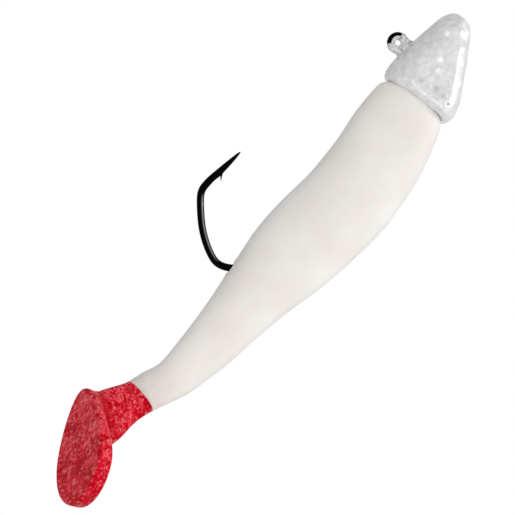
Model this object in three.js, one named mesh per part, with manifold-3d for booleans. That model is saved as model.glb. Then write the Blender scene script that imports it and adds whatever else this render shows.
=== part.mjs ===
// A paddle-tail swimbait rigged on a lead-headed jig hook, in millimetres.
// +X points to the nose, +Z to the back, +Y to the bait's left side.
// The origin is the centre of the line-tie ring. The soft body lies in a gentle
// curve to its right, with the tail kicked the same way, as it does when laid down.
import * as THREE from 'three';
import { mergeVertices } from 'three/addons/utils/BufferGeometryUtils.js';
import Module from 'manifold-3d';

const wasm = await Module();
wasm.setup();

// Hook wire, ring and shank
const wireRadius = 0.75;
const ringRadius = 1.6;
const shankHeight = -11.9;
const legBendRadius = 2.6;
const shankEnd = -54.3;
const hookBend = [
  [-57.0, -11.4], [-59.4, -9.8], [-60.8, -7.0], [-60.1, -3.7],
  [-58.0, 0.3], [-54.7, 4.3], [-52.4, 6.2], [-49.8, 6.6],
];
const hookTip = [-40.7, 6.45];
const pointLength = 8;
const pointPower = 0.5;
const tipRadius = 0.06;
const barb = [[-45.9, 6.2], [-48.1, 4.8], [-47.4, 6.2]];
const barbThickness = 0.5;
const wireSides = 10;
const wireSteps = 76;
const ringSteps = 28;

// Pieces that touch on the real bait stand this far apart here
const clearance = 0.3;

// Head form from nose to rear: back line, throat line and half width
const headBack = [
  [13.7, -6.0], [13.1, -3.9], [11.0, -2.6], [7.1, -2.2],
  [2.0, -2.0], [-2.7, -2.0], [-5.7, -2.4], [-7.2, -3.4], [-7.5, -5.4],
];
const headThroat = [
  [13.7, -7.3], [13.3, -8.6], [11.3, -10.4], [7.8, -13.1],
  [3.4, -16.2], [-1.0, -18.9], [-3.6, -19.5], [-4.9, -18.8], [-5.1, -17.3],
];
const headHalfWidth = [1.2, 3.5, 4.6, 5.4, 5.9, 6.1, 6.15, 5.3, 4.5];
const headSquareness = 2.7;
const headMiddle = new THREE.Vector3(2, 0, -9.1);
const coatInnerScale = 0.92;
const leadScale = 0.865;
const eyeSleeve = { rear: -2.75, front: 3.1, halfDepth: 1.7, top: -1, bottom: -4 };

// Cast keeper behind the head: radius at each distance back from its root
const keeperRoot = -4.5;
const keeperLength = 9.6;
const keeperFlares = [[2.4, 0], [2.3, 3.6], [3.1, 4.0], [2.1, 6.6], [2.8, 7.0], [1.5, 9.6]];
const keeperSides = 20;

// Soft body, straightened, from the head to the colour line
const bodyBack = [
  [-7.9, -5.3], [-8.4, -3.8], [-10.2, -3.6], [-16.7, -4.35], [-24.9, -6.05], [-33.0, -6.9],
  [-45.2, -7.2], [-53.3, -8.4], [-61.7, -10.2], [-69.5, -11.9], [-78.0, -13.25], [-84.5, -13.75],
  [-89.0, -12.7], [-92.8, -11.9],
];
const bodyBelly = [
  [-5.6, -17.3], [-6.0, -18.8], [-7.9, -20.1], [-16.7, -23.4], [-24.9, -25.3], [-33.0, -26.4],
  [-45.2, -26.05], [-53.3, -25.2], [-61.7, -24.3], [-69.5, -23.9], [-78.0, -23.3], [-84.5, -22.45],
  [-89.0, -21.2], [-93.4, -19.8],
];
const bodyHalfWidth = [3.6, 4.9, 5.3, 5.9, 6.3, 6.4, 6.0, 5.6, 5.1, 4.5, 3.7, 3.1, 2.8, 2.6];
const bodySquareness = 2.2;
const flexStart = -63;
const flexEnd = -72;
const bodyEnd = -120;
const bodyReach = 40;

// Wrist of the tail, straightened, from the colour line to the paddle
const wristBack = [[-93.1, -11.8], [-95.8, -10.6], [-98.5, -9.4], [-100.3, -9.02]];
const wristBelly = [[-93.7, -19.8], [-98.0, -19.05], [-103.5, -19.15], [-110.9, -18.32]];
const wristHalfWidth = [2.55, 2.35, 2.35, 2.9];
const wristSquareness = 2.2;

// Paddle: an egg-shaped plate that leans back from the wrist
const paddleLength = 25.2;
const paddleWidth = 20.2;
const paddleThickness = 3.2;
const paddleEdge = 0.8;
const paddleEgg = 0.26;
const paddleOutlinePoints = 36;
const paddleSlope = THREE.MathUtils.degToRad(39.7);
const paddleCentre = new THREE.Vector3(-110.74, 0, -15.4);

// How the soft body lies at rest
const swayStart = -60.5;
const swayLength = 32.3;
const swayAngle = THREE.MathUtils.degToRad(13.7);
const kickStart = new THREE.Vector3(-93.7, 0, -15.8);
const kickLength = 7.5;
const kickAngle = THREE.MathUtils.degToRad(13);
const wristLift = THREE.MathUtils.degToRad(26.4);

const lateral = new THREE.Vector3(0, 1, 0);

function mergeCorners(geometry) {
  geometry.deleteAttribute('normal');
  geometry.deleteAttribute('uv');
  return mergeVertices(geometry, 1e-4);
}

function toSolid(geometry) {
  const closed = mergeCorners(geometry);
  const vertProperties = new Float32Array(closed.attributes.position.array);
  const triVerts = new Uint32Array(closed.index.array);
  return new wasm.Manifold(new wasm.Mesh({ numProp: 3, vertProperties, triVerts }));
}

function toGeometry(solid) {
  const { vertProperties, triVerts } = solid.getMesh();
  const geometry = new THREE.BufferGeometry();
  geometry.setAttribute('position', new THREE.BufferAttribute(vertProperties, 3));
  geometry.setIndex(new THREE.BufferAttribute(triVerts, 1));
  geometry.computeVertexNormals();
  return geometry;
}

function moveVertices(geometry, move) {
  const position = geometry.attributes.position;
  const point = new THREE.Vector3();
  for (let i = 0; i < position.count; i += 1) {
    point.fromBufferAttribute(position, i);
    position.setXYZ(i, ...move(point).toArray());
  }
  return geometry;
}

// A closed skin around a path: a unit cylinder whose every point is placed again by
// its distance along the path (0 to 1), its angle and its distance from the middle.
function skinAlongPath(sides, steps, place) {
  const geometry = mergeCorners(new THREE.CylinderGeometry(1, 1, 1, sides, steps));
  return moveVertices(geometry, (point) => {
    const along = 0.5 - point.y;
    return place(along, Math.atan2(point.x, point.z), Math.hypot(point.x, point.z));
  });
}

// A fish-like form between a back line and a belly line drawn nose to tail. Each
// section is a superellipse across those two lines.
function loft({ back, belly, halfWidth, squareness, sides, stepsPerPoint }) {
  const backLine = new THREE.SplineCurve(back.map(([x, z]) => new THREE.Vector2(x, z)));
  const bellyLine = new THREE.SplineCurve(belly.map(([x, z]) => new THREE.Vector2(x, z)));
  const widthLine = new THREE.SplineCurve(halfWidth.map((width) => new THREE.Vector2(width, 0)));
  const bulge = (value) => Math.sign(value) * Math.abs(value) ** (2 / squareness);
  return skinAlongPath(sides, stepsPerPoint * (back.length - 1), (along, angle, reach) => {
    const top = backLine.getPoint(along);
    const bottom = bellyLine.getPoint(along);
    const width = widthLine.getPoint(along).x;
    const height = 0.5 + 0.5 * reach * bulge(Math.sin(angle));
    const section = bottom.lerp(top, height);
    return new THREE.Vector3(section.x, reach * width * bulge(Math.cos(angle)), section.y);
  });
}

function hookLine() {
  const line = new THREE.Path();
  line.moveTo(0, -ringRadius);
  line.lineTo(0, shankHeight + legBendRadius);
  line.absarc(-legBendRadius, shankHeight + legBendRadius, legBendRadius, 0, -Math.PI / 2, true);
  line.lineTo(shankEnd, shankHeight);
  line.splineThru(hookBend.map(([x, z]) => new THREE.Vector2(x, z)));
  line.lineTo(...hookTip);
  return line;
}

// The wire with its ring; extra makes the wider form that clears it inside other pieces
function hookSolid(extra) {
  const line = hookLine();
  const length = line.getLength();
  const wire = skinAlongPath(wireSides, wireSteps, (along, angle, reach) => {
    const centre = line.getPoint(along);
    const tangent = line.getTangent(along);
    const taper = Math.min(1, (length * (1 - along) / pointLength) ** pointPower);
    const radius = reach * (Math.max(wireRadius * taper, tipRadius) + extra);
    const outward = radius * Math.sin(angle);
    return new THREE.Vector3(
      centre.x + outward * tangent.y,
      radius * Math.cos(angle),
      centre.y - outward * tangent.x,
    );
  });
  const ring = new THREE.TorusGeometry(ringRadius, wireRadius + extra, wireSides, ringSteps);
  ring.rotateX(Math.PI / 2);
  return toSolid(wire).add(toSolid(ring));
}

function barbSolid() {
  const outline = new THREE.Shape(barb.map(([x, z]) => new THREE.Vector2(x, z)));
  const geometry = new THREE.ExtrudeGeometry(outline, { depth: barbThickness, bevelEnabled: false });
  geometry.rotateX(Math.PI / 2);
  geometry.translate(0, barbThickness / 2, 0);
  return toSolid(geometry);
}

function headForm(scale) {
  const geometry = loft({
    back: headBack,
    belly: headThroat,
    halfWidth: headHalfWidth,
    squareness: headSquareness,
    sides: 28,
    stepsPerPoint: 2,
  });
  const shrink = (point) => point.sub(headMiddle).multiplyScalar(scale).add(headMiddle);
  return toSolid(moveVertices(geometry, shrink));
}

// Extra widens the keeper, and lengthens it at both ends, to clear it inside other pieces
function keeper(extra) {
  const flares = keeperFlares.map(([radius, distance]) => new THREE.Vector2(radius + extra, distance));
  const root = new THREE.Vector2(0, -extra);
  const end = new THREE.Vector2(0, keeperLength + extra);
  const geometry = new THREE.LatheGeometry([root, ...flares, end], keeperSides);
  geometry.rotateZ(Math.PI / 2);
  geometry.translate(keeperRoot, 0, shankHeight);
  return toSolid(geometry);
}

function box(low, high) {
  const geometry = new THREE.BoxGeometry(high[0] - low[0], high[1] - low[1], high[2] - low[2]);
  geometry.translate((low[0] + high[0]) / 2, (low[1] + high[1]) / 2, (low[2] + high[2]) / 2);
  return toSolid(geometry);
}

// Everything between two stations along the bait
function slab(front, rear) {
  return box([rear, -bodyReach, -bodyReach], [front, bodyReach, bodyReach]);
}

// Bends a straight length of bait evenly towards its right side. What lies past the
// bend goes on straight in the new direction.
function bendRight(point, start, length, angle) {
  const distance = start - point.x;
  if (distance <= 0) {
    return point;
  }
  const radius = length / angle;
  const turned = angle * Math.min(distance / length, 1);
  const past = Math.max(distance - length, 0);
  const arm = radius + point.y;
  point.x = start - arm * Math.sin(turned) - past * Math.cos(turned);
  point.y = arm * Math.cos(turned) - radius - past * Math.sin(turned);
  return point;
}

// The tail turns about an axis square to its rising wrist, then the whole body sways
function layDown(point) {
  point.sub(kickStart).applyAxisAngle(lateral, -wristLift);
  bendRight(point, 0, kickLength, kickAngle);
  point.applyAxisAngle(lateral, wristLift).add(kickStart);
  return bendRight(point, swayStart, swayLength, swayAngle);
}

function paddleGeometry() {
  const outline = new THREE.Shape();
  for (let i = 0; i < paddleOutlinePoints; i += 1) {
    const angle = 2 * Math.PI * i / paddleOutlinePoints;
    const along = (paddleLength / 2 - paddleEdge) * Math.cos(angle);
    const across = (paddleWidth / 2 - paddleEdge) * Math.sin(angle) * (1 + paddleEgg * Math.cos(angle));
    if (i === 0) {
      outline.moveTo(along, across);
    } else {
      outline.lineTo(along, across);
    }
  }
  outline.closePath();
  const geometry = new THREE.ExtrudeGeometry(outline, {
    depth: paddleThickness - 2 * paddleEdge,
    bevelThickness: paddleEdge,
    bevelSize: paddleEdge,
    bevelSegments: 3,
  });
  geometry.translate(0, 0, paddleEdge - paddleThickness / 2);
  const down = new THREE.Vector3(-Math.cos(paddleSlope), 0, -Math.sin(paddleSlope));
  const rear = new THREE.Vector3().crossVectors(down, lateral);
  const pose = new THREE.Matrix4().makeBasis(down, lateral, rear).setPosition(paddleCentre);
  return mergeCorners(geometry.applyMatrix4(pose));
}

const group = new THREE.Group();

function addPiece(name, geometry, colour, roughness, metalness) {
  const material = new THREE.MeshStandardMaterial({ color: colour, roughness, metalness });
  const mesh = new THREE.Mesh(geometry, material);
  mesh.name = name;
  group.add(mesh);
}

const hookRoom = hookSolid(clearance);
const hook = hookSolid(0).add(barbSolid());
addPiece('hook', toGeometry(hook), '#17171a', 0.3, 1);

const leadHead = headForm(leadScale).add(keeper(0)).subtract(hookRoom);
addPiece('lead_head', toGeometry(leadHead), '#6f7276', 0.55, 1);

const sleeve = box(
  [eyeSleeve.rear, -eyeSleeve.halfDepth, eyeSleeve.bottom],
  [eyeSleeve.front, eyeSleeve.halfDepth, eyeSleeve.top],
);
const headCoat = headForm(1).add(sleeve).subtract(headForm(coatInnerScale))
  .subtract(keeper(clearance)).subtract(hookRoom);
addPiece('head_coat', toGeometry(headCoat), '#d8dadc', 0.22, 0.1);

const body = toSolid(loft({
  back: bodyBack,
  belly: bodyBelly,
  halfWidth: bodyHalfWidth,
  squareness: bodySquareness,
  sides: 28,
  stepsPerPoint: 2,
}));
const bodyFront = body.intersect(slab(0, flexStart)).subtract(hookRoom).subtract(keeper(clearance));
const bodyFlex = body.intersect(slab(flexStart - clearance, flexEnd));
const bodyRear = body.intersect(slab(flexEnd - clearance, bodyEnd));
const bodyPieces = { body_front: bodyFront, body_flex: bodyFlex, body_rear: bodyRear };
for (const [name, solid] of Object.entries(bodyPieces)) {
  addPiece(name, moveVertices(toGeometry(solid), layDown), '#e7e1db', 0.5, 0);
}

const wrist = loft({
  back: wristBack,
  belly: wristBelly,
  halfWidth: wristHalfWidth,
  squareness: wristSquareness,
  sides: 24,
  stepsPerPoint: 4,
});
addPiece('tail_wrist', moveVertices(wrist, layDown), '#bb1f30', 0.4, 0);
addPiece('tail_paddle', moveVertices(paddleGeometry(), layDown), '#bb1f30', 0.4, 0);

export default group;
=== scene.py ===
import math

import bmesh
import bpy
import numpy as np
from mathutils import Matrix, Vector


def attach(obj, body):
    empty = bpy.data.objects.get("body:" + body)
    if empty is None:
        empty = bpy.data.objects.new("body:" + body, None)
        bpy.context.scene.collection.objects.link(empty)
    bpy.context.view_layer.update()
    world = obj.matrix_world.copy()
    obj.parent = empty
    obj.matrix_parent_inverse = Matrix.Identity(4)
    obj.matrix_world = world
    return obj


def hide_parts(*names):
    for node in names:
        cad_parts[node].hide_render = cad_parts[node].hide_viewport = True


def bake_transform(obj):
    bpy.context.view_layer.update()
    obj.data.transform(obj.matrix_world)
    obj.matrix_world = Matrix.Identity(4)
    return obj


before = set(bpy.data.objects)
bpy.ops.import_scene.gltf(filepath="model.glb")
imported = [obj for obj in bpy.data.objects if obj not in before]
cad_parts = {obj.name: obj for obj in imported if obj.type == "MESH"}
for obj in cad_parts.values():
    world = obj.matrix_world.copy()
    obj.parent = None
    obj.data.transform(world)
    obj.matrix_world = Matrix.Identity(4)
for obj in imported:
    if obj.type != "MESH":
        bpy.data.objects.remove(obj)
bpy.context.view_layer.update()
print("frame loaded:", sorted(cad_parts))

mm = 0.001  # every size below is in millimetres, and meshes are made in metres

# the resting curve, and where it bends: the rear body sways to the bait's right, and the
# tail kicks the same way
lay = {
    "swayStart": -60.5,
    "swayLength": 32.3,
    "swayAngle": math.radians(13.7),
    "kickStart": (-93.7, 0.0, -15.8),
    "kickLength": 7.5,
    "kickAngle": math.radians(13.0),
    "wristLift": math.radians(26.4),
    "swayBend": (-62.5, -73.5),
    "swayHeight": -17.8,
    "kickBend": (1.1, 9.2),
}


def splineThrough(points, t):
    # Catmull-Rom through the points, evenly in t from 0 to 1, ends held
    points = np.asarray(points, float)
    if points.ndim == 1:
        points = points[:, None]
    last = len(points) - 1
    place = np.clip(np.asarray(t, float), 0, 1) * last
    i = np.minimum(np.floor(place).astype(int), last - 1)
    w = (place - i)[..., None]
    before, here = points[np.maximum(i - 1, 0)], points[i]
    there, after = points[i + 1], points[np.minimum(i + 2, last)]
    leave, arrive = (there - before) / 2, (after - here) / 2
    return ((2 * here - 2 * there + leave + arrive) * w**3
            + (3 * there - 3 * here - 2 * leave - arrive) * w**2 + leave * w + here)


def tilt(points, angle):
    # turn about the sideways axis by angle
    c, s = math.cos(angle), math.sin(angle)
    x, y, z = points[..., 0], points[..., 1], points[..., 2]
    return np.stack([x * c + z * s, y, z * c - x * s], -1)


def bendRight(points, start, length, angle):
    # points behind start turn on an arc of length / angle, and run straight past its end
    x, y, z = points[..., 0], points[..., 1], points[..., 2]
    distance = start - x
    radius = length / angle
    turned = angle * np.clip(distance / length, 0, 1)
    past = np.maximum(distance - length, 0)
    arm = radius + y
    newX = start - arm * np.sin(turned) - past * np.cos(turned)
    newY = arm * np.cos(turned) - radius - past * np.sin(turned)
    behind = distance > 0
    return np.stack([np.where(behind, newX, x), np.where(behind, newY, y), z], -1)


def layDown(points):
    # the kick about the rising wrist, then the sway of the whole rear body
    root = np.array(lay["kickStart"])
    turned = tilt(points - root, -lay["wristLift"])
    turned = bendRight(turned, 0.0, lay["kickLength"], lay["kickAngle"])
    turned = tilt(turned, lay["wristLift"]) + root
    return bendRight(turned, lay["swayStart"], lay["swayLength"], lay["swayAngle"])


def superEllipse(angle, squareness):
    # cosine and sine of the angle, raised so that 2 gives an ellipse and more gives flatter sides
    c, s = np.cos(angle), np.sin(angle)
    power = 2 / squareness
    return np.sign(c) * np.abs(c) ** power, np.sign(s) * np.abs(s) ** power


def bump(distance, width):
    # a bell of height 1 that fades out over width
    return np.exp(-((distance / width) ** 2))


def fullTurn(steps):
    # the angles of evenly spaced steps once round, as a row
    return (np.arange(steps) * 2 * math.pi / steps)[None, :]


def skinFaces(rows, around, capStart=None, capEnd=None):
    # quads between neighbouring rings of points, and a fan from each pole
    i, j = np.arange(rows - 1)[:, None], np.arange(around)[None, :]
    a, b = i * around + j, i * around + (j + 1) % around
    faces = np.stack([a, b, b + around, a + around], -1).reshape(-1, 4).tolist()
    ring = np.arange(around)
    if capStart is not None:
        start = np.full(around, capStart)
        faces += np.stack([start, (ring + 1) % around, ring], -1).tolist()
    if capEnd is not None:
        lastRing = (rows - 1) * around
        end = np.full(around, capEnd)
        faces += np.stack([end, lastRing + ring, lastRing + (ring + 1) % around], -1).tolist()
    return faces


def storeValues(mesh, name, values):
    # one number for each point, kept on the mesh for its material
    layer = mesh.attributes.new(name, "FLOAT", "POINT")
    layer.data.foreach_set("value", np.asarray(values).astype(np.float32))


def makeMesh(name, points, faces, straight=None):
    # points in mm to a smooth mesh in metres; straight is each point's place in the unbent bait
    mesh = bpy.data.meshes.new(name)
    mesh.from_pydata((np.asarray(points) * mm).tolist(), [], faces)
    if straight is not None:
        attribute = mesh.attributes.new("straight", "FLOAT_VECTOR", "POINT")
        attribute.data.foreach_set("vector", (np.asarray(straight) * mm).astype(np.float32).ravel())
    mesh.validate()
    piece = bpy.data.objects.new(name, mesh)
    bpy.context.scene.collection.objects.link(piece)
    faceOut(piece)
    return piece


def faceOut(piece):
    # turn the faces outward and shade them smooth
    work = bmesh.new()
    work.from_mesh(piece.data)
    bmesh.ops.recalc_face_normals(work, faces=work.faces)
    if work.calc_volume(signed=True) < 0:
        bmesh.ops.reverse_faces(work, faces=work.faces)
    work.to_mesh(piece.data)
    work.free()
    piece.data.polygons.foreach_set("use_smooth", np.ones(len(piece.data.polygons), bool))
    piece.data.update()


def closedSkin(rings):
    # a grid of rings with a pole at each end: all its points, and its faces
    rows, around = rings.shape[:2]
    poles = np.stack([rings[0].mean(0), rings[-1].mean(0)])
    points = np.concatenate([rings.reshape(-1, 3), poles])
    return points, skinFaces(rows, around, rows * around, rows * around + 1)


def hoopSkin(rings):
    # a grid of rings whose last ring joins the first: all its points, and its faces
    rows, around = rings.shape[:2]
    ring = np.arange(around)
    last = (rows - 1) * around
    closing = np.stack([last + ring, last + (ring + 1) % around, (ring + 1) % around, ring], -1)
    return rings.reshape(-1, 3), skinFaces(rows, around) + closing.tolist()


def joinSkins(skins):
    # several closed skins as one list of points and one list of faces
    points, faces, first = [], [], 0
    for skinPoints, skinFaceList in skins:
        points.append(skinPoints)
        faces += [[first + corner for corner in face] for face in skinFaceList]
        first += len(skinPoints)
    return np.concatenate(points), faces


def applyModifiers(piece):
    depsgraph = bpy.context.evaluated_depsgraph_get()
    mesh = bpy.data.meshes.new_from_object(piece.evaluated_get(depsgraph))
    piece.modifiers.clear()
    old, piece.data = piece.data, mesh
    bpy.data.meshes.remove(old)
    mesh.name = piece.name


def vertexArrays(piece):
    count = len(piece.data.vertices)
    places, normals = np.zeros(count * 3, np.float32), np.zeros(count * 3, np.float32)
    piece.data.vertices.foreach_get("co", places)
    piece.data.vertex_normals.foreach_get("vector", normals)
    return places.reshape(-1, 3) / mm, normals.reshape(-1, 3)


def setVertices(piece, places):
    piece.data.vertices.foreach_set("co", (places * mm).astype(np.float32).ravel())
    piece.data.update()


def linear(hexColour):
    # sRGB hex to linear red, green, blue and alpha
    parts = [int(hexColour[i:i + 2], 16) / 255 for i in (1, 3, 5)]
    return [p / 12.92 if p <= 0.04045 else ((p + 0.055) / 1.055) ** 2.4 for p in parts] + [1.0]


def newMaterial(name):
    material = bpy.data.materials.new(name)
    material.use_nodes = True
    return material, material.node_tree.nodes["Principled BSDF"]


def addNode(material, kind, settings=None, inputs=None):
    # one node; settings are its own properties, inputs are values or the sockets that feed them
    node = material.node_tree.nodes.new(kind)
    for key, value in (settings or {}).items():
        setattr(node, key, value)
    for key, value in (inputs or {}).items():
        if isinstance(value, bpy.types.NodeSocket):
            material.node_tree.links.new(value, node.inputs[key])
        else:
            node.inputs[key].default_value = value
    return node


def feed(material, socket, target):
    material.node_tree.links.new(socket, target)


def noise(material, place, size, detail, roughness=0.5, distortion=0.0):
    # cloudy noise whose blotches are about size mm wide
    node = addNode(material, "ShaderNodeTexNoise", inputs={
        "Vector": place, "Scale": 1 / (size * mm), "Detail": detail,
        "Roughness": roughness, "Distortion": distortion})
    return node.outputs["Fac"]


def mapRange(material, value, start, end, low=0.0, high=1.0):
    # value from start to end becomes low to high, held at both ends
    node = addNode(material, "ShaderNodeMapRange", inputs={
        "Value": value, "From Min": start, "From Max": end, "To Min": low, "To Max": high})
    return node.outputs["Result"]


def times(material, one, other):
    node = addNode(material, "ShaderNodeMath", {"operation": "MULTIPLY"}, {0: one, 1: other})
    return node.outputs["Value"]


def colourMix(material, share, under, over):
    # the under colour, covered by share of the over colour
    over = linear(over) if isinstance(over, str) else over
    node = addNode(material, "ShaderNodeMix", {"data_type": "RGBA"}, {
        "Factor": share, 6: under, 7: over})
    return node.outputs[2]


def pointValue(material, name):
    return addNode(material, "ShaderNodeAttribute", {"attribute_name": name}).outputs["Fac"]


def straightPlace(material):
    # each point's place in the unbent bait, so that the pattern follows when the bait bends
    return addNode(material, "ShaderNodeAttribute", {"attribute_name": "straight"}).outputs["Vector"]


def objectPlace(material):
    return addNode(material, "ShaderNodeTexCoord").outputs["Object"]


def partOf(material, vector, axis):
    return addNode(material, "ShaderNodeSeparateXYZ", inputs={"Vector": vector}).outputs[axis]


def addRelief(material, shader, height, strength, depth):
    # fine relief of depth mm, too small for the mesh
    relief = addNode(material, "ShaderNodeBump", inputs={
        "Height": height, "Strength": strength, "Distance": depth * mm})
    feed(material, relief.outputs["Normal"], shader.inputs["Normal"])


def setShader(shader, settings):
    for key, value in settings.items():
        shader.inputs[key].default_value = value


def rampOf(material, factor, stops):
    # a colour ramp from (position, hex) stops
    ramp = addNode(material, "ShaderNodeValToRGB", inputs={"Fac": factor})
    elements = ramp.color_ramp.elements
    while len(elements) < len(stops):
        elements.new(0.5)
    for element, (position, hexColour) in zip(elements, stops):
        element.position = position
        element.color = linear(hexColour)
    return ramp.outputs["Color"]


whiteLook = {
    "milk": "#e9e5e1",
    "warm": "#e3ded9",
    # the pinkish grey of the painted shade towards the tail, and where it starts and ends
    "tailShade": "#b9aaa4",
    "patch": 9.0,
    "grain": 0.35,
    "blot": 1.6,
    "shadeStart": -83.0,
    "shadeEnd": -93.5,
}


def whitePlastisol():
    # soft poured plastisol: milky, faintly warm, light soaks in and the sheen is broad and soft
    material, shader = newMaterial("white_plastisol")
    place = straightPlace(material)
    patches = noise(material, place, whiteLook["patch"], 3.0)
    milk = rampOf(material, patches, [(0.35, whiteLook["warm"]), (0.65, whiteLook["milk"])])
    # painted shade: towards the colour line the white is darkened in blotches to a pinkish grey
    shadeRamp = mapRange(material, partOf(material, place, "X"),
                     whiteLook["shadeStart"] * mm, whiteLook["shadeEnd"] * mm, 0.0, 0.85)
    shadeMask = times(material, shadeRamp, noise(material, place, whiteLook["blot"], 4.0, 0.6))
    shadedMilk = colourMix(material, shadeMask, milk, whiteLook["tailShade"])
    feed(material, shadedMilk, shader.inputs["Base Color"])
    addRelief(material, shader, noise(material, place, whiteLook["grain"], 2.0), 0.12, 0.03)
    setShader(shader, {
        "Roughness": 0.5, "IOR": 1.48, "Subsurface Weight": 0.45,
        "Subsurface Radius": (1.0, 0.8, 0.65), "Subsurface Scale": 1.6 * mm})
    return material


redLook = {
    "deep": "#b00014",
    "red": "#c4061e",
    "bright": "#d21831",
    "flesh": "#ee646e",
    "pink": "#f0a8a8",
    "sheen": "#d84c5c",
    "crumb": 0.6,
    "fleck": 0.42,
    "swirl": 2.6,
    "stretch": (1.0, 0.5, 1.0),
    "low": -25.0,
    "high": -9.0,
}


def redPlastisol():
    # clear red plastisol full of fine glitter: pink where flakes crowd the skin, with painted glints and
    # painted shade in its colour
    material, shader = newMaterial("red_plastisol")
    straight = straightPlace(material)
    place = addNode(material, "ShaderNodeMapping", inputs={
        "Vector": straight, "Scale": redLook["stretch"]}).outputs["Vector"]
    swirl = noise(material, place, redLook["swirl"], 4.0, 0.6, 0.8)
    base = rampOf(material, swirl, [
        (0.36, redLook["deep"]), (0.5, redLook["red"]), (0.66, redLook["bright"])])
    crumbs = noise(material, place, redLook["crumb"], 3.0, 0.7)
    flecks = addNode(material, "ShaderNodeTexVoronoi", {"feature": "F1"}, {
        "Vector": place, "Scale": 1 / (redLook["fleck"] * mm), "Randomness": 1.0})
    shade = addNode(material, "ShaderNodeSeparateColor", inputs={"Color": flecks.outputs["Color"]})
    # the flakes crowd in drifts, and more of them lie high in the tail than low
    drifts = mapRange(material, swirl, 0.38, 0.62, 0.78, 1.12)
    settled = mapRange(material, partOf(material, straight, "Z"),
                       redLook["low"] * mm, redLook["high"] * mm, 0.88, 1.06)
    crowd = times(material, crumbs, times(material, drifts, settled))
    crumbly = colourMix(material, mapRange(material, crowd, 0.45, 0.62, 0.0, 0.72), base, redLook["flesh"])
    # painted glints: pink specks where the glitter would catch the light
    paintedGlints = mapRange(material, shade.outputs["Red"], 0.86, 0.98, 0.0, 0.4)
    glittery = colourMix(material, paintedGlints, crumbly, redLook["pink"])
    # painted shade: a deeper red in the crease where the wrist runs into the paddle
    creaseShaded = colourMix(material, pointValue(material, "creaseShade"), glittery, redLook["deep"])
    feed(material, creaseShaded, shader.inputs["Base Color"])
    addRelief(material, shader, flecks.outputs["Distance"], 0.25, 0.05)
    setShader(shader, {
        "Roughness": 0.36, "IOR": 1.48, "Specular IOR Level": 0.03,
        "Specular Tint": linear(redLook["sheen"]), "Subsurface Weight": 0.25,
        "Subsurface Radius": (1.0, 0.12, 0.12), "Subsurface Scale": 0.8 * mm})
    return material


def flakeFoil():
    # red and silver foil flakes: each catches the light at its own angle
    material, shader = newMaterial("glitter_foil")
    colour = rampOf(material, pointValue(material, "tint"), [
        (0.0, "#6c0814"), (0.6, "#a02030"), (0.9, "#cc5a64"), (1.0, "#e89a98")])
    feed(material, colour, shader.inputs["Base Color"])
    setShader(shader, {"Metallic": 0.85, "Roughness": 0.28})
    return material


pearlLook = {
    "pearl": "#e6e6e6",
    "shade": "#d3d3d3",
    # the white of the painted highlights, the grey of the painted shade, and the dark of the painted
    # streaks and hollow
    "highlightWhite": "#ffffff",
    "shadeGrey": "#7e7f82",
    "paintedDark": "#5a5b5e",
    "cloud": 1.4,
    "streak": 0.8,
    "mica": 0.4,
    "streaksFrom": -3.0,
    "streaksFull": -1.8,
}


def pearlCoat():
    # dipped pearl paint, laid on heavily, under a hard clear gloss; its colour carries painted shade and
    # painted highlights
    material, shader = newMaterial("pearl_coat")
    place = objectPlace(material)
    # painted shade: clouds of darker and lighter pearl stand in for the shading of the coat's lumps
    paintedMottle = noise(material, place, pearlLook["cloud"], 5.0, 0.62)
    pearl = rampOf(material, paintedMottle, [(0.36, pearlLook["shade"]), (0.62, pearlLook["pearl"])])
    # painted highlight: white on the drips and round the blister; painted shade: grey in the dents and the
    # blister's hollow
    thickness = pointValue(material, "thickness")
    highlighted = colourMix(material, mapRange(material, thickness, 0.5, 0.9), pearl, pearlLook["highlightWhite"])
    shaded = colourMix(material, mapRange(material, thickness, 0.5, 0.0), highlighted, pearlLook["shadeGrey"])
    # painted reflection: grey streaks on the paint round the ring and the top of its foot stand in for the
    # dark reflections in its gloss
    upRing = mapRange(material, partOf(material, place, "Z"),
                      pearlLook["streaksFrom"] * mm, pearlLook["streaksFull"] * mm)
    streaks = noise(material, place, pearlLook["streak"], 3.0, 0.6)
    paintedReflection = times(material, upRing, mapRange(material, streaks, 0.46, 0.66, 0.0, 0.8))
    coat = colourMix(material, paintedReflection, shaded, pearlLook["paintedDark"])
    feed(material, coat, shader.inputs["Base Color"])
    addRelief(material, shader, noise(material, place, pearlLook["mica"], 2.0), 0.15, 0.04)
    setShader(shader, {"Metallic": 0.25, "Roughness": 0.32, "Coat Weight": 1.0, "Coat Roughness": 0.18})
    return material


def blackNickel():
    # black nickel plate on forged steel wire: a near-black mirror, with a painted grey highlight line
    # along its inner flank
    material, shader = newMaterial("black_nickel")
    wear = noise(material, objectPlace(material), 0.8, 4.0, 0.6)
    tone = rampOf(material, wear, [(0.3, "#060607"), (0.7, "#0e0e10")])
    # painted highlight: a grey line along the inner flank of the forged part stands in for its glint
    paintedReflection = colourMix(material, pointValue(material, "paintedStripe"), tone, "#9a9ba0")
    feed(material, paintedReflection, shader.inputs["Base Color"])
    feed(material, mapRange(material, wear, 0.0, 1.0, 0.1, 0.24), shader.inputs["Roughness"])
    setShader(shader, {"Metallic": 1.0})
    return material


def castLead():
    # raw cast lead under the coat: dull blue-grey with a crusty grain
    material, shader = newMaterial("cast_lead")
    crust = noise(material, objectPlace(material), 0.9, 6.0, 0.65)
    tone = rampOf(material, crust, [(0.3, "#5c6066"), (0.7, "#82878d")])
    feed(material, tone, shader.inputs["Base Color"])
    addRelief(material, shader, crust, 0.4, 0.1)
    setShader(shader, {"Metallic": 1.0, "Roughness": 0.55})
    return material


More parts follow.
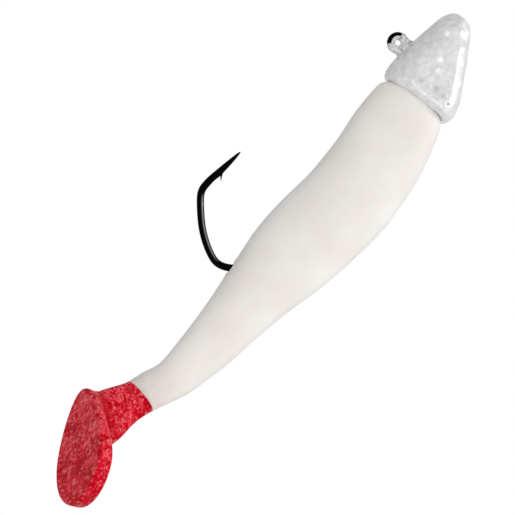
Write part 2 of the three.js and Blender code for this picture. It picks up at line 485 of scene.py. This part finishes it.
softBody = {
    "back": [
        (-6.6, -6.0), (-7.9, -4.1), (-10.2, -3.6), (-16.7, -4.35), (-24.9, -6.05), (-33.0, -6.9),
        (-45.2, -7.2), (-53.3, -8.4), (-61.7, -10.2), (-69.5, -11.9), (-78.0, -13.25), (-84.5, -13.75),
        (-89.0, -12.7), (-92.8, -11.9),
    ],
    "belly": [
        (-4.3, -16.6), (-5.4, -18.4), (-7.9, -20.1), (-16.7, -23.4), (-24.9, -25.3), (-33.0, -26.4),
        (-45.2, -26.05), (-53.3, -25.2), (-61.7, -24.3), (-69.5, -23.9), (-78.0, -23.3), (-84.5, -22.45),
        (-89.0, -21.2), (-93.4, -19.8),
    ],
    "halfWidth": [4.2, 5.1, 5.4, 5.9, 6.3, 6.4, 6.0, 5.6, 5.1, 4.5, 3.7, 3.1, 2.8, 2.6],
    "squareness": 2.2,
    "rows": 320,
    "around": 144,
    "seamHeight": 0.1,
    "seamWidth": 0.22,
    "waveHeight": 0.05,
    "exit": -59.4,
    "lipHeight": 0.16,
    "lipRadius": 1.25,
    "lipWidth": 0.5,
    "dimpleDepth": 0.45,
    "dimpleWidth": 0.85,
}
wrist = {
    "back": [(-95.8, -10.6), (-98.5, -9.4), (-100.5, -8.8)],
    "belly": [(-98.0, -19.05), (-103.5, -19.15), (-111.1, -18.1)],
    "halfWidth": [2.35, 2.35, 2.9],
    "rows": 40,
    "around": 144,
}
backLine = softBody["back"] + wrist["back"]
bellyLine = softBody["belly"] + wrist["belly"]
widthLine = softBody["halfWidth"] + wrist["halfWidth"]
colourLine = (len(softBody["back"]) - 1) / (len(backLine) - 1)


def bodySection(t, angle):
    # superellipse across the back and belly lines at t: height between them, and width to each side
    back, belly = splineThrough(backLine, t), splineThrough(bellyLine, t)
    width = splineThrough(widthLine, t)[..., 0]
    across, up = superEllipse(angle, softBody["squareness"])
    height = 0.5 + 0.5 * up
    x = belly[..., 0] + (back[..., 0] - belly[..., 0]) * height
    z = belly[..., 1] + (back[..., 1] - belly[..., 1]) * height
    return np.stack(np.broadcast_arrays(x, width * across, z), -1)


def buildSoftBody():
    # rings from the head to the colour line, with a mould seam on back and belly, slow
    # waves, and a lip of pushed-up plastic round a dimple where the hook comes out
    t = np.linspace(0, colourLine, softBody["rows"])[:, None]
    angle = fullTurn(softBody["around"])
    rings = bodySection(t, angle)
    x, y, z = rings[..., 0], rings[..., 1], rings[..., 2]
    up = np.sin(angle)
    seam = softBody["seamHeight"] * bump(y, softBody["seamWidth"]) * np.sign(up)
    ripple = np.sin(x * 0.55 + 1.3) * np.cos(z * 0.4) + np.sin(x * 0.23 + y * 0.5)
    waves = softBody["waveHeight"] * ripple
    fromExit = np.hypot((x - softBody["exit"]) * 0.8, y)
    lip = softBody["lipHeight"] * bump(fromExit - softBody["lipRadius"], softBody["lipWidth"])
    dimple = softBody["dimpleDepth"] * bump(fromExit, softBody["dimpleWidth"])
    onBack = up > 0.3
    z = z + seam + waves * up + np.where(onBack, lip - dimple, 0)
    y = y + waves * np.cos(angle)
    points, faces = closedSkin(np.stack([x, y, z], -1))
    return makeMesh("softBody", layDown(points), faces, straight=points)


paddle = {
    "length": 25.2,
    "width": 20.2,
    "thickness": 3.2,
    "edge": 0.75,
    "egg": 0.26,
    "squareness": 1.9,
    "slope": math.radians(39.7),
    "centre": (-110.74, 0.0, -15.4),
    "wristEnd": 0.955,
    "filletRoom": 3.4,
    "filletShare": 0.7,
    "arriveRear": 0.75,
    "arriveOut": 0.65,
    "flareFrom": -0.55,
    "flareFull": 0.45,
    "dish": 0.25,
    # where the painted crease shade sits, in rings past the wrist, and how dark it is
    "creaseRow": 3,
    "creaseRows": 6.0,
    "creaseShare": 0.8,
}


def buildTail():
    # one skin from the colour line: the wrist, then out over the paddle's front face, round its
    # rim and in over its rear face. At the toe the wrist meets a flat face in a fillet, and at
    # the heel it flares straight out to the rim.
    around = wrist["around"]
    angle = fullTurn(around)[0]
    up = np.sin(angle)
    slope, half, edge = paddle["slope"], paddle["thickness"] / 2, paddle["edge"]
    down = np.array([-math.cos(slope), 0, -math.sin(slope)])
    rear = np.array([-math.sin(slope), 0, math.cos(slope)])
    centre = np.array(paddle["centre"])

    def eggRing(inset, depth):
        # the paddle's outline, drawn in by inset, at depth behind its middle plane
        sideways, lengthwise = superEllipse(angle, paddle["squareness"])
        along = -(paddle["length"] / 2 - inset) * lengthwise
        across = (paddle["width"] / 2 - inset) * sideways * (1 - paddle["egg"] * up)
        return centre + along[:, None] * down + across[:, None] * np.array([0, 1, 0]) + depth * rear

    def roundOver(turns, level):
        return [eggRing(edge * (1 - math.cos(turn)), level + edge * math.sin(turn))
                for turn in np.radians(turns)]

    wristT = np.linspace(colourLine, paddle["wristEnd"], wrist["rows"])[:, None]
    wristRings = bodySection(wristT, angle[None, :])
    leave = wristRings[-1]

    # the toe: a fillet from the wrist, the flat face, and the front edge
    foot = bodySection(np.full((1, 1), 1.0), angle[None, :])[0]
    foot = foot - ((foot - centre) @ rear + half)[:, None] * rear
    frontEdge = eggRing(edge, -half)
    outward = frontEdge - foot
    room = np.linalg.norm(outward, axis=1)[:, None]
    landing = foot + outward * np.minimum(paddle["filletShare"], paddle["filletRoom"] / room)
    bends = [(1 - w) ** 2 * leave + 2 * w * (1 - w) * foot + w**2 * landing
             for w in np.linspace(0, 1, 11)[1:]]
    flats = [landing + (frontEdge - landing) * w for w in np.linspace(0, 1, 9)[1:]]
    toe = np.array(bends + flats + roundOver(np.linspace(-90, 0, 7)[1:], edge - half))

    # the heel: a cubic from the wrist's own direction to the rim
    rim = eggRing(0, half - edge)
    w = np.linspace(0, 1, len(toe) + 1)[1:, None, None]
    launch = leave - wristRings[-2]
    launch = launch / np.linalg.norm(launch, axis=1)[:, None]
    arrive = rear * paddle["arriveRear"] + outward / room * paddle["arriveOut"]
    span = np.linalg.norm(rim - leave, axis=1)[:, None]
    heel = ((2 * w**3 - 3 * w**2 + 1) * leave + (w**3 - 2 * w**2 + w) * launch * span
            + (3 * w**2 - 2 * w**3) * rim + (w**3 - w**2) * arrive * span)

    share = np.clip((up - paddle["flareFrom"]) / (paddle["flareFull"] - paddle["flareFrom"]), 0, 1)
    share = (share**2 * (3 - 2 * share))[None, :, None]
    front = toe * (1 - share) + heel * share
    rearEdge = eggRing(edge, half)
    toMiddle = centre + rear * half - rearEdge
    face = [rearEdge + toMiddle * w - rear * paddle["dish"] * (1 - (1 - w) ** 2)
            for w in np.linspace(0, 1, 22)[1:-1]]
    back = roundOver(np.linspace(0, 90, 6), half - edge)
    rings = np.concatenate([wristRings, front, back, face])
    points, faces = closedSkin(rings)
    piece = makeMesh("glitterTail", layDown(points), faces, straight=points)
    # painted shade for the crease, a few rings past the wrist's end
    row = np.arange(len(rings)) - wrist["rows"] - paddle["creaseRow"]
    creaseShade = np.repeat(paddle["creaseShare"] * bump(row, paddle["creaseRows"]), around)
    atPoles = [0, 0]
    storeValues(piece.data, "creaseShade", np.append(creaseShade, atPoles))
    return piece, rings


flakes = {"count": 700, "sides": 6, "smallest": 0.11, "largest": 0.24, "proud": 0.02, "lean": 0.175}


def buildFlakes(rings):
    # six-sided flakes scattered over the tail's skin by area, each lying nearly flat on it
    draw = np.random.default_rng(41)
    count = flakes["count"]
    a, b = rings[:-1], np.roll(rings[:-1], -1, axis=1)
    c, d = np.roll(rings[1:], -1, axis=1), rings[1:]
    cross = np.cross(c - a, d - b)
    area = np.linalg.norm(cross, axis=2)
    picked = draw.choice(area.size, count, p=(area / area.sum()).ravel())
    p, q = draw.random((2, count, 1))
    a, b, c, d = (grid.reshape(-1, 3)[picked] for grid in (a, b, c, d))
    spot = (1 - p) * (1 - q) * a + p * (1 - q) * b + p * q * c + (1 - p) * q * d
    normal = cross.reshape(-1, 3)[picked]
    normal /= np.linalg.norm(normal, axis=1)[:, None] + 1e-9
    spot = spot + normal * flakes["proud"]
    lean = normal + flakes["lean"] * draw.normal(size=normal.shape)
    lean /= np.linalg.norm(lean, axis=1)[:, None]
    upright = np.array([[0.0, 0.0, 1.0]])
    forward = np.array([[1.0, 0.0, 0.0]])
    first = np.cross(lean, np.where(np.abs(lean[:, 2:3]) < 0.9, upright, forward))
    first /= np.linalg.norm(first, axis=1)[:, None]
    second = np.cross(lean, first)
    size = draw.uniform(flakes["smallest"], flakes["largest"], (count, 1, 1))
    turn = fullTurn(flakes["sides"])[..., None]
    corners = spot[:, None] + size * (np.cos(turn) * first[:, None] + np.sin(turn) * second[:, None])
    points = corners.reshape(-1, 3)
    faces = np.arange(len(points)).reshape(-1, flakes["sides"]).tolist()
    mesh = bpy.data.meshes.new("tailFlakes")
    mesh.from_pydata((layDown(points) * mm).tolist(), [], faces)
    storeValues(mesh, "tint", np.repeat(draw.random(count), flakes["sides"]))
    piece = bpy.data.objects.new("tailFlakes", mesh)
    bpy.context.scene.collection.objects.link(piece)
    return piece


hook = {
    "wire": 0.75,
    "ring": 1.6,
    "shankHeight": -11.9,
    "legBend": 2.6,
    "shankEnd": -54.3,
    "bend": [
        (-57.0, -11.4), (-59.4, -9.8), (-60.8, -7.0), (-60.1, -3.7),
        (-58.0, 0.3), (-54.7, 4.3), (-52.4, 6.2), (-49.8, 6.6),
    ],
    "tip": (-40.7, 6.45),
    "pointLength": 8.0,
    "tipRadius": 0.04,
    "keel": 0.3,
    "keelEase": 1.5,
    "forgedFrom": 52.0,
    "forgedEase": 8.0,
    "forgedTo": 6.0,
    "forgedFade": 4.0,
    "forgedThin": 0.82,
    "forgedWide": 1.05,
    "innerSquareness": 1.55,
    "outerSquareness": 2.8,
    # the painted highlight line: where it runs along the inner flank, and how wide it is
    "paintedStripeFrom": 12.3,
    "paintedStripeTo": 28.0,
    "paintedStripeAt": 0.42,
    "paintedStripeWidth": 0.2,
    "paintedStripeEase": 2.5,
    "barbRoot": (-46.45, 6.19),
    "barbTip": (-48.1, 4.8),
    "barbBow": 0.12,
    "barbDeep": 0.36,
    "barbLeast": 0.03,
    "barbWide": 0.34,
    "rows": 520,
    "around": 48,
    "ringRows": 96,
    "barbRows": 14,
    "barbAround": 12,
}


def hookPath():
    # the wire's middle line as evenly spaced points: leg, corner, shank, bend and point
    reach, deep = hook["legBend"], hook["shankHeight"]
    leg = np.stack([np.zeros(20), np.linspace(-hook["ring"], deep + reach, 20)], 1)
    turn = np.linspace(0, -math.pi / 2, 24)
    corner = np.stack([-reach + reach * np.cos(turn), deep + reach + reach * np.sin(turn)], 1)
    bendStart = (hook["shankEnd"], deep)
    bend = splineThrough([bendStart] + hook["bend"], np.linspace(0, 1, 160))
    line = np.concatenate([leg, corner[1:], bend, [hook["tip"]]])
    steps = np.concatenate([[0], np.cumsum(np.linalg.norm(np.diff(line, axis=0), axis=1))])
    even = np.linspace(0, steps[-1], hook["rows"])
    return np.stack([np.interp(even, steps, line[:, k]) for k in (0, 1)], 1), even


def hoop(middle, reach, halfWidth, rows, around, squareness):
    # a ring about the sideways axis, of a section with the given reach and half width
    across, out = superEllipse(fullTurn(around), squareness)
    turn = fullTurn(rows).T
    arm = middle + reach * out
    sideways = halfWidth * across * np.ones_like(turn)
    return hoopSkin(np.stack([arm * np.cos(turn), sideways, arm * np.sin(turn)], -1))


def barbSkin():
    # a sliver lifted from the wire's shank side, its tip pointing back down the wire
    s = np.linspace(0, 1, hook["barbRows"])[:, None]
    root, end = np.array(hook["barbRoot"]), np.array(hook["barbTip"])
    spine = root + (end - root) * s + np.array([0, hook["barbBow"]]) * np.sin(s * math.pi)
    deep = hook["barbDeep"] * (1 - s) ** 0.6 + hook["barbLeast"]
    wide = hook["barbWide"] * (1 - 0.8 * s)
    turn = fullTurn(hook["barbAround"])
    x = spine[:, :1] * np.ones_like(turn)
    return closedSkin(np.stack([x, wide * np.cos(turn), spine[:, 1:] + deep * np.sin(turn)], -1))


def buildHook():
    # a round wire carried along the path, forged flat from the bend on, drawn to a needle
    # point with a keel; its ring is a torus, and its barb a raised sliver
    line, along = hookPath()
    tangent = np.gradient(line, axis=0)
    tangent /= np.linalg.norm(tangent, axis=1)[:, None]
    left = along[-1] - along
    taper = np.minimum(1, (left / hook["pointLength"]) ** 0.5)
    radius = np.maximum(hook["wire"] * taper, hook["tipRadius"])[:, None]
    flatten = np.clip((along - hook["forgedFrom"]) / hook["forgedEase"], 0, 1)
    roundAgain = np.clip((left - hook["forgedTo"]) / hook["forgedFade"], 0, 1)
    forged = (flatten * roundAgain)[:, None]
    keel = 1 + hook["keel"] * np.clip((hook["pointLength"] - left) / hook["keelEase"], 0, 1)[:, None]
    angle = fullTurn(hook["around"])
    inner = np.sin(angle) * np.ones_like(forged) > 0
    squareness = np.where(inner, hook["innerSquareness"], hook["outerSquareness"])
    across, outward = superEllipse(angle, 2 + (squareness - 2) * forged)

    # a painted highlight line along the inner flank, from the bend to near the point
    paintedStripe = bump(np.where(inner, outward, -1) - hook["paintedStripeAt"], hook["paintedStripeWidth"])
    fromEnds = np.minimum(left - hook["paintedStripeFrom"], hook["paintedStripeTo"] - left)
    paintedStripe = paintedStripe * np.clip(fromEnds / hook["paintedStripeEase"], 0, 1)[:, None]

    across = across * radius * (1 + (hook["forgedThin"] - 1) * forged)
    outward = outward * radius * (1 + (hook["forgedWide"] - 1) * forged) * np.where(inner, keel, 1)
    x = line[:, :1] + outward * tangent[:, 1:]
    z = line[:, 1:] - outward * tangent[:, :1]
    wire = closedSkin(np.stack([x, across, z], -1))
    ring = hoop(hook["ring"], hook["wire"], hook["wire"], hook["ringRows"], hook["around"], 2.0)
    points, faces = joinSkins([wire, ring, barbSkin()])
    piece = makeMesh("hookWire", points, faces)
    # the painted highlight line lies on the wire's points only; the ring and barb get none
    grey = np.zeros(len(points))
    grey[:paintedStripe.size] = paintedStripe.ravel()
    storeValues(piece.data, "paintedStripe", grey)
    return piece


head = {
    "back": [
        (13.7, -6.0), (13.1, -3.9), (11.0, -2.6), (7.1, -2.2),
        (2.0, -2.0), (-2.7, -2.0), (-5.7, -2.4), (-7.2, -3.4), (-7.5, -5.4),
    ],
    "throat": [
        (13.7, -7.3), (13.3, -8.6), (11.3, -10.4), (7.8, -13.1),
        (3.4, -16.2), (-1.0, -18.9), (-3.6, -19.5), (-4.9, -18.8), (-5.1, -17.3),
    ],
    "halfWidth": [1.2, 3.5, 4.6, 5.4, 5.9, 6.1, 6.15, 5.3, 4.5],
    "bevelEnd": (4.3, 2.1),
    "bevelWidth": 1.15,
    "bevelSlope": 0.77,
    "backRound": 5.5,
    "ease": 0.2,
    "fullDepth": 9.0,
    "fullWidth": 5.6,
    "voxel": 0.14,
    "drips": [
        (7.9, -5.8, 0.8, 0.3), (2.8, -8.8, 0.75, 0.26), (0.9, -10.0, 0.6, 0.2),
        (-6.3, -5.6, 0.45, 0.09), (-5.9, -6.4, 0.4, 0.07),
    ],
    "dents": [
        (7.2, -6.5, 0.4, 0.14), (-3.3, -9.1, 0.5, 0.16),
        (-2.2, -12.3, 0.55, 0.16), (-2.3, -14.7, 0.5, 0.14),
    ],
    # drips up to this height are painted white as highlights, and dents are painted grey as shade
    "highlightTall": 0.25,
    "dentShade": 0.35,
    # the blister's swelling and hollow, its painted highlight ring (white) and its painted dark hollow
    "blister": {
        "at": (-2.7, -16.7), "swell": (0.12, 0.75), "burst": (0.4, 0.3), "white": (0.8, 0.8), "paintedDark": 1.9,
    },
    "cheekFrom": 2.0,
    "rolls": 0.05,
    "bumps": 110,
    "bumpHeight": (0.04, 0.17),
    "bumpWidth": (0.5, 1.2),
    "pits": 26,
    "pitDepth": (0.06, 0.16),
    "pitWidth": (0.25, 0.5),
    "roughBelow": -2.6,
    "smoothAbove": -2.2,
    "smoothEase": 1.2,
}
eyeCoat = {
    "ringTube": 0.84,
    "bareFrom": 24.0,
    "bareTo": 140.0,
    "hole": 0.6,
    "washerEdge": 1.72,
    "washer": 0.8,
    "footLong": 2.15,
    "footWide": 0.95,
    "footFlare": (1.0, 0.9),
    "footBottom": -3.0,
    "footHeight": 2.1,
    "footForward": (0.15, 0.25),
}


def easedLeast(a, b, ease):
    # the smaller of two heights, with the corner where they cross rounded off
    return (a + b - np.sqrt((a - b) ** 2 + ease**2)) / 2


def quarterRound(u):
    # rises from 0 at u = 0 to 1 at u = 1 as a quarter of a circle
    return np.sqrt(1 - (1 - np.clip(u, 0, 1)) ** 2)


def headRings(rows, around):
    # across each back-to-throat line: a blunt chin, a narrow bevel, a flat cheek, a broad round back
    t = np.linspace(0, 1, rows)[:, None]
    angle = fullTurn(around)
    back, throat = splineThrough(head["back"], t[:, 0]), splineThrough(head["throat"], t[:, 0])
    width = splineThrough(head["halfWidth"], t[:, 0])
    depth = np.linalg.norm(back - throat, axis=1)[:, None]
    height = 0.5 + 0.5 * np.sin(angle) * np.ones_like(t)
    # the nose's shallow sections shrink the rounds and the bevel, which are sized for the cheek
    room = np.minimum(1, depth / head["fullDepth"])
    fromChin, fromBack = height * depth, (1 - height) * depth
    noseEnd, throatEnd = head["bevelEnd"]
    bevelEnd = (noseEnd + (throatEnd - noseEnd) * t) * room
    bevelWidth = head["bevelWidth"] * room * np.minimum(1, width / head["fullWidth"])
    chin = width * quarterRound(fromChin / (2 * (bevelEnd - bevelWidth)))
    bevel = width - head["bevelSlope"] * (bevelEnd - fromChin)
    crown = quarterRound(fromBack / (head["backRound"] * room))
    below = easedLeast(easedLeast(chin, bevel, head["ease"]), width, head["ease"])
    y = np.maximum(below, 0) * crown
    x = throat[:, :1] + (back[:, :1] - throat[:, :1]) * height
    z = throat[:, 1:] + (back[:, 1:] - throat[:, 1:]) * height
    return np.stack([x, np.where(np.cos(angle) < 0, -y, y), z], -1)


def tube(path, radius, around=20):
    # round rings in the upright plane along a path, for paint that clings to the ring
    tangent = np.gradient(path, axis=0)
    tangent /= np.linalg.norm(tangent, axis=1)[:, None]
    turn = fullTurn(around)
    out = radius * np.sin(turn)
    x = path[:, :1] + out * tangent[:, 1:]
    z = path[:, 1:] - out * tangent[:, :1]
    return np.stack([x, radius * np.cos(turn) * np.ones_like(x), z], -1)


def footRings():
    # the paint's flared foot between the ring and the head, a rounded box in section
    up = np.linspace(0, 1, 8)[:, None]
    lengthwise, sideways = superEllipse(fullTurn(24), 3.0)
    flare = (1 - up) ** 2
    flareLong, flareWide = eyeCoat["footFlare"]
    top, lower = eyeCoat["footForward"]
    x = top + (eyeCoat["footLong"] + flareLong * flare) * lengthwise + lower * flare
    y = (eyeCoat["footWide"] + flareWide * flare) * sideways
    z = eyeCoat["footBottom"] + eyeCoat["footHeight"] * up
    return np.stack([x, y, z * np.ones_like(x)], -1)


def buildHeadCoat():
    # the head form, a washer of paint inside the ring, paint round the ring's lower part and
    # a flared foot, melted together, then dripped and pitted
    form = closedSkin(headRings(110, 140))
    turn = np.radians(np.linspace(eyeCoat["bareTo"], 360 + eyeCoat["bareFrom"], 60))
    arc = hook["ring"] * np.stack([np.cos(turn), np.sin(turn)], 1)
    clinging = closedSkin(tube(arc, eyeCoat["ringTube"]))
    middle = (eyeCoat["hole"] + eyeCoat["washerEdge"]) / 2
    reach = (eyeCoat["washerEdge"] - eyeCoat["hole"]) / 2
    washer = hoop(middle, reach, eyeCoat["washer"], 60, 20, 3.0)
    points, faces = joinSkins([form, clinging, washer, closedSkin(footRings())])
    piece = makeMesh("headCoat", points, faces)
    remesh = piece.modifiers.new("melt", "REMESH")
    remesh.mode = "VOXEL"
    remesh.voxel_size = head["voxel"] * mm
    smooth = piece.modifiers.new("flow", "SMOOTH")
    smooth.factor = 0.5
    smooth.iterations = 8
    applyModifiers(piece)
    roughen(piece)
    faceOut(piece)
    return piece


def roughen(piece):
    # long rolls, seeded bumps and pits as bells of height along the skin's own normal, then drips, dents
    # and one burst blister on each cheek, with a value at each point that the coat turns into painted
    # highlight (white on drips and round the blister) and painted shade (grey in dents and the blister's
    # hollow)
    places, normals = vertexArrays(piece)
    draw = np.random.default_rng(7)
    x, y, z = places.T

    def fromSpot(spot):
        return np.hypot(x - spot[0], z - spot[1])

    height = head["rolls"] * np.sin(x * 0.9 + 0.4) * np.cos(z * 0.8 + y * 0.6)
    candidates = np.flatnonzero(z < head["roughBelow"])
    for spot in places[draw.choice(candidates, head["bumps"])]:
        wide = draw.uniform(*head["bumpWidth"])
        height += draw.uniform(*head["bumpHeight"]) * bump(np.linalg.norm(places - spot, axis=1), wide)
    for spot in places[draw.choice(candidates, head["pits"])]:
        wide = draw.uniform(*head["pitWidth"])
        height -= draw.uniform(*head["pitDepth"]) * bump(np.linalg.norm(places - spot, axis=1), wide)
    onCheek = np.abs(y) > head["cheekFrom"]
    thickness = np.zeros(len(places))
    for *spot, wide, tall in head["drips"]:
        drip = bump(fromSpot(spot), wide)
        height += onCheek * tall * drip
        thickness += onCheek * min(1, tall / head["highlightTall"]) * drip**2
    for *spot, wide, deep in head["dents"]:
        dent = bump(fromSpot(spot), wide)
        height -= onCheek * deep * dent
        thickness -= onCheek * head["dentShade"] * dent
    blister = head["blister"]
    fromBlister = fromSpot(blister["at"])
    (swell, swellWidth), (burst, burstWidth) = blister["swell"], blister["burst"]
    white, whiteWidth = blister["white"]
    hollow = bump(fromBlister, burstWidth)
    height += onCheek * (swell * bump(fromBlister, swellWidth) - burst * hollow)
    thickness += onCheek * (white * bump(fromBlister, whiteWidth) - blister["paintedDark"] * hollow)
    fade = np.clip((head["smoothAbove"] - z) / head["smoothEase"], 0, 1)
    setVertices(piece, places + normals * (height * fade)[:, None])
    # above 0.5 the stored value paints highlight white, below it paints shade grey
    storeValues(piece.data, "thickness", 0.5 + 0.5 * np.clip(thickness, -1, 1))


def useMaterial(piece, material):
    piece.data.materials.clear()
    piece.data.materials.append(material)


body = buildSoftBody()
useMaterial(body, whitePlastisol())
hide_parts("body_front", "body_flex", "body_rear")
print("soft body made")

tail, tailRings = buildTail()
useMaterial(tail, redPlastisol())
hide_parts("tail_wrist", "tail_paddle")
tailFlakes = buildFlakes(tailRings)
useMaterial(tailFlakes, flakeFoil())
print("tail and its glitter made")

hookWire = buildHook()
useMaterial(hookWire, blackNickel())
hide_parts("hook")
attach(hookWire, "jig")
print("hook made")

headCoat = buildHeadCoat()
useMaterial(headCoat, pearlCoat())
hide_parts("head_coat")
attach(headCoat, "jig")
print("head coat made:", len(headCoat.data.polygons), "faces")

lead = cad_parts["lead_head"]
leadFinish = castLead()
for slot in lead.material_slots:
    slot.material = leadFinish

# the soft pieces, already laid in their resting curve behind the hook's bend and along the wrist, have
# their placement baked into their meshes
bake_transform(body)
for piece in (tail, tailFlakes):
    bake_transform(piece)

studio = {
    "floorDrop": 0.6,
    "floorSize": 10.0,
    "floorGlow": 0.2,
    "surround": 0.73,
    "overhead": 0.53,
    "azimuth": math.radians(-10.0),
    "roll": math.radians(44.0),
    "distance": 1.0,
    "frameWidth": 0.10815,
    "sensor": 36.0,
    "target": (-53.81, 0.0, -12.05),
}


def buildFloor():
    # a wide sheet of white paper far below the bait
    half = studio["floorSize"] / 2
    z = -studio["floorDrop"]
    corners = [(-half, -half, z), (half, -half, z), (half, half, z), (-half, half, z)]
    mesh = bpy.data.meshes.new("floor")
    mesh.from_pydata(corners, [], [(0, 1, 2, 3)])
    floor = bpy.data.objects.new("floor", mesh)
    bpy.context.scene.collection.objects.link(floor)
    material, shader = newMaterial("paper_floor")
    setShader(shader, {
        "Base Color": linear("#f4f4f4"), "Roughness": 0.9,
        "Emission Color": (1, 1, 1, 1), "Emission Strength": studio["floorGlow"]})
    useMaterial(floor, material)


def buildWorld():
    # an even white surround: full white behind the bait, dimmer where it lights the bait
    world = bpy.data.worlds.new("studio")
    bpy.context.scene.world = world
    world.use_nodes = True
    background = world.node_tree.nodes["Background"]
    way = addNode(world, "ShaderNodeTexCoord").outputs["Generated"]
    dim = mapRange(world, partOf(world, way, "Z"), 0.0, 1.0, studio["surround"], studio["overhead"])
    seen = addNode(world, "ShaderNodeLightPath").outputs["Is Camera Ray"]
    level = addNode(world, "ShaderNodeMix", inputs={"Factor": seen, "A": dim, "B": 1.0}).outputs["Result"]
    feed(world, level, background.inputs["Strength"])
    background.inputs["Color"].default_value = (1, 1, 1, 1)


softboxes = {
    "keyLight": {"place": (0.377, -0.078, -0.405), "size": 0.18, "power": 0.62, "spread": 0.3},
    "glintLight": {"place": (-0.277, -0.766, -0.05), "size": 0.14, "power": 0.2, "spread": 0.5},
    "fillLight": {"place": (-0.1, -1.0, -0.25), "size": 1.3, "power": 5.1, "mirrored": False},
}


def addSoftbox(name, place, size, power, mirrored=True, spread=1.0):
    # a square soft light at place in metres, aimed at the bait: a mirrored one shows in the
    # bait's gloss, and spread is how much of its light falls on matt surfaces
    light = bpy.data.lights.new(name, "AREA")
    light.size = size
    light.energy = power
    light.diffuse_factor = spread
    lamp = bpy.data.objects.new(name, light)
    bpy.context.scene.collection.objects.link(lamp)
    lamp.location = place
    aim = Vector(studio["target"]) * mm - Vector(place)
    lamp.rotation_euler = aim.to_track_quat("-Z", "Y").to_euler()
    lamp.visible_glossy = mirrored


def buildCamera():
    # level with the bait and a little behind its beam, rolled so that the bait climbs to the right
    turn, roll = studio["azimuth"], studio["roll"]
    back = Vector((math.sin(turn), -math.cos(turn), 0))
    right = Vector((math.cos(turn), math.sin(turn), 0))
    up = Vector((0, 0, 1))
    imageRight = right * math.cos(roll) - up * math.sin(roll)
    imageUp = right * math.sin(roll) + up * math.cos(roll)
    camera = bpy.data.cameras.new("camera")
    camera.sensor_width = studio["sensor"]
    camera.lens = studio["sensor"] * studio["distance"] / studio["frameWidth"]
    camera.clip_start, camera.clip_end = 0.05, 50
    holder = bpy.data.objects.new("camera", camera)
    bpy.context.scene.collection.objects.link(holder)
    place = Vector(studio["target"]) * mm + back * studio["distance"]
    holder.matrix_world = Matrix((
        (imageRight.x, imageUp.x, back.x, place.x),
        (imageRight.y, imageUp.y, back.y, place.y),
        (imageRight.z, imageUp.z, back.z, place.z),
        (0, 0, 0, 1)))
    bpy.context.scene.camera = holder


buildFloor()
buildWorld()
for name, softbox in softboxes.items():
    addSoftbox(name, **softbox)
buildCamera()
scene = bpy.context.scene
scene.view_settings.view_transform = "Standard"
scene.view_settings.look = "None"
print("studio made")
